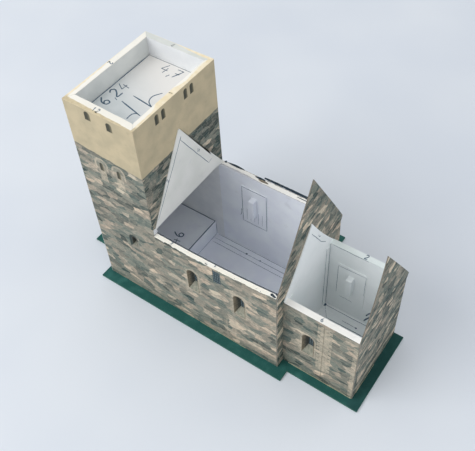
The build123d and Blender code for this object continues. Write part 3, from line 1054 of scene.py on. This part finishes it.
def crumbs(name, material, slot, count, low, high, smallest, largest):
    sheaf = Sheaf()
    for _ in range(count):
        u = chance.uniform(low, high)
        v = chance.uniform(0.15, 0.9)
        size = chance.uniform(smallest, largest)
        corners = chance.randint(5, 8)
        spin = chance.uniform(0, math.tau / 8)
        lean_up = chance.uniform(0.0, 0.5)
        outline = []
        for corner in range(corners):
            angle = math.tau * corner / corners
            reach = size * chance.uniform(0.55, 1.0)
            outline.append((reach * 1.7 * math.cos(angle), reach * 0.6 * math.sin(angle)))

        def place(a, b, lift):
            along = a * math.cos(spin) - b * math.sin(spin)
            over = a * math.sin(spin) + b * math.cos(spin)
            height = south_eave(u) + 0.22 + lean_up * abs(a) * 0.6
            return spot(u + along, max(0.05, v + over), height + lift)

        sheaf.card(outline, place, 0.1, 5.0)
    return sheaf.piece(name, material, slot, smooth=False)


crumbs("roof_crumbs", dark_scrap, "roof_paper", 5, tab_low.x + 1, tab_high.x - 4, 0.12, 0.38)
crumbs("paper_crumbs", torn_paper, "white_tab", 40, tab_low.x + 1, tab_high.x - 3, 0.2, 0.6)

corner_crumb = Sheaf()
corner_crumb.card([(112.9, 1.5), (113.5, 0.6), (116.1, 0.2), (116.5, 0.8), (114.4, 1.2), (113.7, 2.0)],
                  lambda u, v, lift: spot(u, v, south_eave(u) + 0.3 + lift), 0.15, 5.0)
corner_crumb.piece("corner_crumb", roof_paper("crumb_paper", (62, 72, 76)), "roof_paper", smooth=False)

# %% [markdown]
# A card that stands free never stays flat. The chancel's east gable leans in, the white triangle against
# the tower curls away at its north end, and the nave's east gable bows slightly. A bend modifier would curl
# them evenly, so each is rebuilt as a sheet of small cells, and a short formula says how far a point has
# bent.

# %% Bent gables
ear_reach = span("nave_east_gable")[1].y - width
ear_drop = 3.4
nave_apex = span("nave_east_gable")[1].z
chancel_apex = span("chancel_east_gable")[1].z
west_low, west_high = span("nave_west_gable")


def eared_gable(south, north, shoulder, apex):
    """A gable's outline as (y, z) points, counter-clockwise as seen from the east."""
    return [(south, ground), (north, ground), (north, shoulder - ear_drop),
            (north + ear_reach, shoulder - paper), ((south + north) / 2, apex), (south, shoulder)]


def bent_gable(name, node, outline, bend, material, slot):
    """Rebuild a gable card. The bend function gives the shift to the east at each (y, z)."""
    west, east = span(node)[0].x, span(node)[1].x

    def place(u, v, lift):
        return spot(east + bend(u, v) + lift, u, v)

    sheaf = Sheaf()
    sheaf.card(outline, place, east - west, 4.0)
    sheaf.piece(name, material, slot, node)
    return place


def past(value, start, reach):
    """How far a value lies past a start, as a share of the reach, never below 0."""
    return max(0.0, (value - start) / reach)


def nave_east_bend(y, z):
    return -0.5 * past(z, eave, nave_apex - eave) ** 2 - 0.35 * past(y, 52, 10) ** 2 * past(z, 50, 15)


def chancel_east_bend(y, z):
    return -2.6 * past(z, low_eave - 4, chancel_apex - low_eave) ** 1.6


def west_bend(y, z):
    return 0.08 + 0.9 * past(y, 52, 7) ** 2 + 0.3 * past(-y, -9, 8) ** 2


bent_gable("bent_nave_east_gable", "nave_east_gable", eared_gable(0.0, width, eave, nave_apex),
           nave_east_bend, nave_gable_finish, "stone_print")
bent_gable("bent_chancel_east_gable", "chancel_east_gable",
           eared_gable(chancel_south, chancel_north, low_eave, chancel_apex),
           chancel_east_bend, chancel_gable_finish, "stone_print")
west_outline = [(west_low.y, west_low.z), (west_high.y, west_low.z), (west_high.y, west_low.z + 1.4),
                (52.8, west_low.z + 8.9), (29.3, west_high.z), (28.5, west_high.z - 0.3)]
west_face = bent_gable("bent_nave_west_gable", "nave_west_gable", west_outline, west_bend,
                       white_card("gable_card", gable_tones), "white_card")

# %% [markdown]
# The white card has pencil lines on it where parts meet, and numbers here and there. They could be masks in
# the card's finish. Here a line is a very thin ribbon that lies on the card and wavers as a hand does, so
# it stays sharp from any distance.

# %% Pencil lines
graphite, graphite_plan = new_finish("pencil")
graphite_grain = noise(graphite_plan, 0.3, 4.0).step(0.35, 0.75)
finish(graphite, graphite_grain.choose((56, 80, 100), (104, 130, 150)), graphite_grain * 0.2 + 0.4)
pencil_lift = 0.03
hand = random.Random(5)


def lying(z):
    """A level face at that height: its marks are given as (x, y)."""
    return lambda u, v, lift: spot(u, v, z + lift)


def to_south(y):
    """An upright face that looks south: its marks are given as (x, z)."""
    return lambda u, v, lift: spot(u, y - lift, v)


def to_east(x):
    """An upright face that looks east: its marks are given as (y, z)."""
    return lambda u, v, lift: spot(x + lift, u, v)


def rounded(points, pieces=5):
    """More points, on a smooth curve through the given ones."""
    ends = [points[0]] + list(points) + [points[-1]]
    made = []
    for before, start, end, after in zip(ends, ends[1:], ends[2:], ends[3:]):
        for piece in range(pieces):
            t = piece / pieces
            made.append(tuple(
                0.5 * (2 * b + (c - a) * t + (2 * a - 5 * b + 4 * c - d) * t * t
                       + (3 * b - a - 3 * c + d) * t ** 3)
                for a, b, c, d in zip(before, start, end, after)))
    return made + [points[-1]]


def straight(points, step=4.0):
    """More points along straight lines, each a little off, as a hand draws."""
    made = [points[0]]
    for start, end in zip(points, points[1:]):
        pieces = max(1, round(math.dist(start, end) / step))
        for piece in range(1, pieces + 1):
            share = piece / pieces
            shake = 0.05 if share < 1 else 0.0
            made.append(tuple(a + (b - a) * share + hand.gauss(0, shake) for a, b in zip(start, end)))
    return made


# %% [markdown]
# A number is a few strokes in a box one high. A font's shapes would be too even, so each digit is a short
# list of points, and writing one scales and turns them.

# %% Pencilled numbers
strokes_of = {
    "1": [[(0.05, 0.72), (0.3, 1.0), (0.3, 0.0)]],
    "2": [[(0.02, 0.8), (0.28, 1.0), (0.52, 0.76), (0.3, 0.36), (0.0, 0.02), (0.58, 0.0)]],
    "4": [[(0.34, 1.0), (0.0, 0.36), (0.6, 0.38)], [(0.46, 0.66), (0.4, 0.0)]],
    "6": [[(0.48, 0.98), (0.1, 0.55), (0.12, 0.1), (0.42, 0.02), (0.52, 0.3), (0.3, 0.46), (0.1, 0.3)]],
    "7": [[(0.0, 0.96), (0.56, 1.0), (0.18, 0.0)], [(0.1, 0.48), (0.5, 0.52)]],
    ",": [[(0.2, 0.1), (0.08, -0.22)]],
}


class Pencil(Sheaf):
    """Collects drawn marks. Each is given its panel and its thickness."""

    def mark(self, panel, thickness, points):
        edges = []
        for index, point in enumerate(points):
            before, after = points[max(0, index - 1)], points[min(len(points) - 1, index + 1)]
            length = math.dist(before, after) or 1.0
            aside = ((before[1] - after[1]) / length, (after[0] - before[0]) / length)
            press = thickness / 2 * (0.55 if index in (0, len(points) - 1) else hand.uniform(0.85, 1.1))
            edges += [(point[0] + side * aside[0] * press, point[1] + side * aside[1] * press)
                      for side in (-1, 1)]
        self.sheet([panel(u, v, pencil_lift) for u, v in edges],
                   [panel(u, v, -pencil_lift / 3) for u, v in edges], 2)

    def line(self, panel, thickness, *points):
        self.mark(panel, thickness, straight(points))

    def sides(self, panel, thickness, *points):
        """A line from each point to the next, each drawn on its own."""
        for start, end in zip(points, points[1:]):
            self.line(panel, thickness, start, end)

    def curve(self, panel, thickness, *points):
        self.mark(panel, thickness, rounded(points))

    def dot(self, panel, thickness, x, y):
        """A short thick stroke."""
        self.mark(panel, thickness, [(x - thickness / 2, y), (x, y), (x + thickness / 2, y)])

    def number(self, panel, thickness, digits, x, y, height, heading=0.0):
        """A number whose foot starts at (x, y) and runs along the heading, in degrees."""
        cos, sin = math.cos(math.radians(heading)), math.sin(math.radians(heading))
        reached = 0.0
        for digit in digits:
            for stroke in strokes_of[digit]:
                scaled = [((a + reached) * height, b * height) for a, b in stroke]
                placed = [(x + a * cos - b * sin, y + a * sin + b * cos) for a, b in scaled]
                if digit in "26":
                    self.mark(panel, thickness, rounded(placed, 4))
                else:
                    for start, end in zip(placed, placed[1:]):
                        self.mark(panel, thickness, straight([start, end], height / 2))
            reached += 0.35 if digit == "," else 0.85


# %% [markdown]
# The card let into the tower's top is marked along two sides, and carries two numbers and a few long
# strokes. Each tab of the rim has its own number.

# %% Pencil on the tower
low, high = span("tower_deck")
west, north = low.x + 0.3, high.y - 0.4
deck = lying(high.z)
rim = lying(tower_top - rim_drop - 0.03)
marks = Pencil()
marks.line(deck, 0.55, (west, 8), (west, north + 0.1))
marks.line(deck, 0.28, (west, north), (high.x - 1, north - 0.1))
marks.number(deck, 0.75, "4,7", 15.6, 49.3, 6.4, -3)
marks.number(deck, 0.75, "6,24", 10.8, 15.5, 6.4, 86)
marks.line(deck, 0.7, (15.2, 22.0), (29.5, 18.6))
marks.line(deck, 0.7, (17.4, 28.0), (30.2, 26.2))
marks.curve(deck, 0.55, (30.2, 26.2), (26.6, 28.6), (25.6, 32.5), (28.2, 37.0))
marks.curve(deck, 0.55, (25.4, 13.6), (25.4, 17.4), (27.4, 19.2))
marks.number(rim, 0.4, "12", 17.2, 1.2, 2.6)
marks.number(rim, 0.4, "1", tower_length - 0.8, 29.0, 2.2, 90)
marks.number(rim, 0.5, "2", 0.7, 32.5, 2.4, -90)
marks.number(rim, 0.4, "7", 19.8, width - 0.7, 2.2, 180)
marks.piece("tower_pencil_marks", graphite, "white_tab", smooth=False)

# %% [markdown]
# The nave's lines run beside the white triangle's slopes, round the card behind the north window, and along
# the folded box and the floor tabs. Dots mark where parts meet.

# %% Pencil in the nave
marks = Pencil()
marks.line(west_face, 0.32, (28.9, 106.4), (48.1, 74.6))
marks.line(west_face, 0.26, (48.1, 74.6), (51.2, 75.4))
marks.line(west_face, 0.3, (28.9, 106.4), (29.6, 108.2), (21.7, 95.6), (4.7, 70.4))
marks.number(west_face, 0.4, "4", 40.6, 87.8, 3.2, 12)
marks.number(west_face, 0.28, "2", 16.0, 88.0, 2.4, 40)

low, high = span("nave_north_window_backing")
west, east = low.x + 0.4, high.x - 0.4
wall_face = to_south(span("nave_north_wall")[0].y)
card_face = to_south(span("nave_north_wall")[0].y - 0.4)
marks.sides(card_face, 0.3, (west, low.z + 0.5), (east, low.z + 0.5), (east, high.z - 0.6),
            (west, high.z - 0.5), (west, low.z + 0.5))
for stripe in range(5):
    x = low.x + 3.2 + stripe * 2.6
    marks.line(card_face, 0.18, (x, low.z + 3), (x + 0.2, low.z + 12))
marks.curve(wall_face, 0.28, (low.x - 1.6, 31), (low.x - 0.8, 34), (low.x - 0.9, 37))

low, high = span("tower_foot_box")
box_top = lying(high.z)
box_east = to_east(high.x)
marks.line(box_top, 0.65, (high.x - 0.5, low.y + 1), (high.x - 0.5, high.y - 0.4))
marks.line(box_top, 0.6, (8, high.y - 0.5), (high.x - 0.5, high.y - 0.5))
marks.line(box_east, 0.35, (high.y - 0.4, low.z + 0.8), (high.y - 0.4, high.z - 0.4))
marks.line(box_east, 0.3, (low.y + 1, ground + 0.8), (high.y - 0.5, ground + 0.8))
marks.number(box_top, 0.7, "46", 28.5, 30.0, 6.4, 104)

low, high = span("nave_floor")
north = span("nave_floor_tabs")[1].y
tab_edge = north - 4.2
tab_face = lying(span("nave_floor_tabs")[1].z)
marks.line(tab_face, 0.22, (low.x + 1, north - 0.4), (high.x - 6, north - 0.4))
marks.line(lying(high.z), 0.22, (low.x + 1, tab_edge - 2.4), (high.x - 14, tab_edge - 2.8))
marks.line(tab_face, 0.22, (low.x + 1, tab_edge + 0.3), (high.x - 4, tab_edge + 0.3))
marks.dot(tab_face, 1.3, 60.9, tab_edge + 0.5)
marks.dot(tab_face, 0.9, 70.7, tab_edge + 0.5)
marks.number(lying(south_eave(79.6) + 0.2), 0.28, "7", 79.6, 0.8, 1.4)
marks.number(lying(south_eave(53.4) + 0.2), 0.28, "2", 53.4, 2.0, 1.4, 180)
marks.piece("nave_pencil_marks", graphite, "white_card", smooth=False)

# %% [markdown]
# The chancel's marks are lighter: its corner tab, the foot of the walls, a number on each top tab, and a
# faint frame round the card behind its north window.

# %% Pencil in the chancel
low, high = span("chancel_floor")
north = high.y
crease = (low.x + 0.6, north - 1.5)
outer_corner = (crease[0] + 5.2, north - 8.5)
corner_face = to_east(span("chancel_corner_tabs")[1].x)
gable_face = to_east(span("chancel_west_gable")[1].x)
foot_face = lying(span("chancel_floor_tabs")[1].z)
floor_face = lying(high.z)
wall_face = to_south(north)
marks = Pencil()
marks.line(corner_face, 0.32, (north - 4.0, ground + 3), (north - 4.0, low_eave - 0.8))
marks.line(corner_face, 0.42, (north - 0.25, ground + 1), (north - 0.4, low_eave - 0.4))
marks.line(foot_face, 0.24, crease, (high.x - 3, north - 1.4))
marks.line(floor_face, 0.24, (132.0, north - 5.5), (140.4, north - 5.6))
marks.line(floor_face, 0.34, outer_corner, (high.x - 1.5, north - 8.3))
marks.line(floor_face, 0.24, (crease[0] + 2.2, north - 4.4), outer_corner)
marks.line(foot_face, 0.24, crease, (crease[0] + 2.0, north - 4.1))
marks.dot(foot_face, 2.0, *crease)
marks.line(wall_face, 0.26, (119.6, low_eave - 0.5), (140.0, low_eave - 0.6))
marks.dot(floor_face, 1.0, 140.9, north - 5.6)
marks.curve(wall_face, 0.85, (143.4, 8.9), (144.6, 11.6), (146.6, 14.2))
marks.curve(wall_face, 0.85, (142.6, 3.2), (144.0, 6.3), (146.2, 10.0))

card_face = to_south(north - 0.4)
low, high = span("chancel_north_window_backing")
west, east = low.x + 0.4, high.x - 0.4
marks.sides(card_face, 0.2, (west, low.z + 4.0), (west, high.z - 1.8), (east, high.z - 1.2),
            (east, low.z + 12.0))
marks.line(card_face, 0.2, (low.x + 2.6, low.z + 1.6), (low.x + 10.6, low.z + 1.3))
marks.line(gable_face, 0.3, (29.3, 83.9), (38.9, 68.2), (44.3, 62.4))
marks.curve(gable_face, 0.35, (36.2, 76.2), (36.9, 74.0), (38.4, 73.4))
marks.number(lying(low_eave), 0.5, "2", 137.2, chancel_north - 2.9, 2.9)
marks.number(lying(low_eave), 0.35, "6", 137.6, chancel_south + 0.6, 2.2)
marks.piece("chancel_pencil_marks", graphite, "white_card", smooth=False)

# %% [markdown]
# Where the printed walls meet the base, a sliver of the glue flange shows as a bright thread. Each is a
# narrow strip that lies on the green card, with an outer edge that wavers.

# %% Glue flange slivers
slivers = Sheaf()


def sliver(low, high, turned, reach, seed):
    """A strip from low to high. The turned function gives the plan's (x, y) beside the wall's foot."""
    def place(u, v, lift):
        return spot(*turned(u, v), ground + 0.14 + lift)

    def edges(u):
        return -reach * (0.6 + 0.5 * abs(wander(u, 5, seed))), 0.0

    slivers.strip(low, high, place, edges, 0.12, step=1.2, rows=1)


sliver(66, 97, lambda u, v: (u, v), 0.2, 31)
sliver(121, chancel_end - 0.5, lambda u, v: (u, chancel_south + v), 0.3, 33)
sliver(chancel_south + 4, chancel_south + 24, lambda u, v: (chancel_end - v, u), 0.2, 35)
flange_paper = white_card("flange_paper", ((176, 172, 140), (214, 210, 184)))
slivers.piece("glue_flange_slivers", flange_paper, "white_tab", smooth=False)
